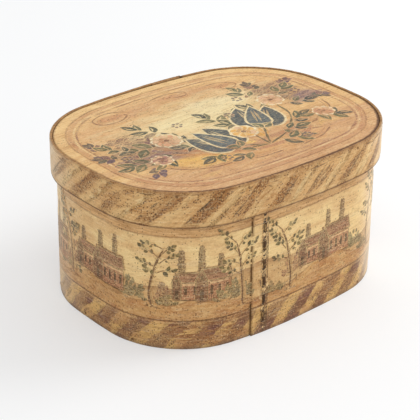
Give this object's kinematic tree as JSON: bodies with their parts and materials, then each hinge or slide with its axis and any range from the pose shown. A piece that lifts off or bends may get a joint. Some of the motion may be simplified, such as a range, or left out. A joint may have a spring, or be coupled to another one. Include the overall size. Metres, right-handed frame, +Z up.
{
  "type": "bentwood box",
  "caption": "Oval box of bent wood strips with laced lap seams, a pegged floor board and a lift-off lid, painted all over.",
  "frame": {"origin": "under the middle of the oval, on the plane the box stands on", "axes": "+X along the length of the oval, +Z up the way the lid lifts off; the laced seam of the box faces -Y"},
  "size_m": [0.38, 0.2934, 0.192],
  "materials": {
    "painted_side": "painted scene, worn satin",
    "painted_rim": "painted stripes, worn satin",
    "painted_top": "painted flowers, worn satin",
    "bare_board": "bare, aged, matt",
    "root_lacing": "bare, dark, matt",
    "peg_wood": "bare, dark, matt"
  },
  "bodies": {
    "box": {"side_band": "painted_side", "side_lacing": "root_lacing", "bottom_board": "bare_board", "bottom_pegs": "peg_wood"},
    "lid": {"lid_band": "painted_rim", "lid_lacing": "root_lacing", "lid_board": "painted_top", "lid_pegs": "peg_wood"}
  },
  "joints": [
    {"name": "lid_lift", "type": "slide", "parent": "box", "child": "lid", "axis": [0, 0, 1], "range_m": [0, 0.12]}
  ]
}
